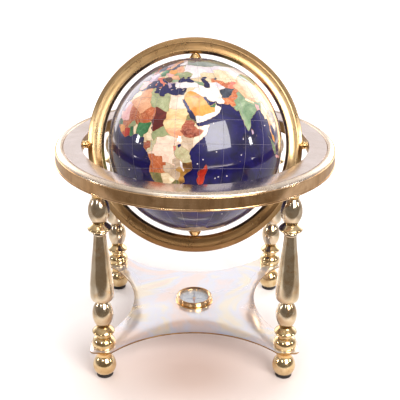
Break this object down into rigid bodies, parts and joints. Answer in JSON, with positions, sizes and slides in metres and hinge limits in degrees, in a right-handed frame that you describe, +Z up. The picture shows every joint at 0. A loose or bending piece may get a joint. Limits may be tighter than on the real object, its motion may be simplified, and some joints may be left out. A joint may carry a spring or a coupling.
{
  "type": "desktop globe on stand",
  "caption": "Gemstone-style desk globe in a swivelling meridian ring on a turned-leg brass table stand with a horizon ring, base plate and compass.",
  "frame": {"origin": "middle of the stand on the plane its four pads stand on", "axes": "+Z up, +X to the right along the meridian ring's swivel axis, -Y towards the front"},
  "size_m": [0.3554, 0.3554, 0.3971],
  "materials": {
    "rose_brass": "polished",
    "gold_brass": "brushed satin",
    "leg_brass": "polished",
    "plate_brass": "mirror polished",
    "steel": "plain",
    "rubber": "matte",
    "compass_glass": "clear",
    "dial": "satin",
    "needle": "satin",
    "globe_stone": "glossy inlay"
  },
  "bodies": {
    "stand": {"horizon_top_plate": "rose_brass", "horizon_lip": "rose_brass", "horizon_skirt": "rose_brass", "horizon_inner_wall": "rose_brass", "horizon_brackets": "steel", "pivot_bushes": "gold_brass", "top_collars": "gold_brass", "upper_egg_fl": "leg_brass", "upper_egg_fr": "leg_brass", "upper_egg_bl": "leg_brass", "upper_egg_br": "leg_brass", "upper_disc_fl": "leg_brass", "upper_disc_fr": "leg_brass", "upper_disc_bl": "leg_brass", "upper_disc_br": "leg_brass", "baluster_fl": "leg_brass", "baluster_fr": "leg_brass", "baluster_bl": "leg_brass", "baluster_br": "leg_brass", "lower_egg_fl": "leg_brass", "lower_egg_fr": "leg_brass", "lower_egg_bl": "leg_brass", "lower_egg_br": "leg_brass", "lower_disc_fl": "leg_brass", "lower_disc_fr": "leg_brass", "lower_disc_bl": "leg_brass", "lower_disc_br": "leg_brass", "cushion_fl": "leg_brass", "cushion_fr": "leg_brass", "cushion_bl": "leg_brass", "cushion_br": "leg_brass", "foot_fl": "leg_brass", "foot_fr": "leg_brass", "foot_bl": "leg_brass", "foot_br": "leg_brass", "base_collars": "gold_brass", "rubber_pads": "rubber", "tie_rods": "steel", "tie_rod_nuts": "steel", "base_plate": "plate_brass", "compass_bowl": "gold_brass", "compass_bezel": "gold_brass", "compass_glass": "compass_glass", "compass_dial": "dial", "compass_pivot": "steel", "compass_nut": "steel"},
    "meridian": {"meridian_ring": "gold_brass", "pivot_knob_left": "gold_brass", "pivot_knob_right": "gold_brass", "pivot_nuts": "steel", "pole_pin_north": "gold_brass", "pole_pin_south": "gold_brass"},
    "globe": {"globe_shell_north": "globe_stone", "globe_shell_south": "globe_stone", "globe_joint_band": "steel", "globe_core_tube": "steel", "pole_bushing_north": "gold_brass", "pole_bushing_south": "gold_brass"},
    "needle": {"compass_needle": "needle"}
  },
  "joints": [
    {"name": "meridian_swivel", "type": "hinge", "parent": "stand", "child": "meridian", "pos_m": [0, 0, 0.268], "axis": [1, 0, 0], "continuous": true},
    {"name": "globe_spin", "type": "hinge", "parent": "meridian", "child": "globe", "pos_m": [0, 0, 0.268], "axis": [0, 0.3502, 0.9367], "continuous": true},
    {"name": "needle_turn", "type": "hinge", "parent": "stand", "child": "needle", "pos_m": [0, 0, 0.045], "axis": [0, 0, 1], "continuous": true}
  ]
}
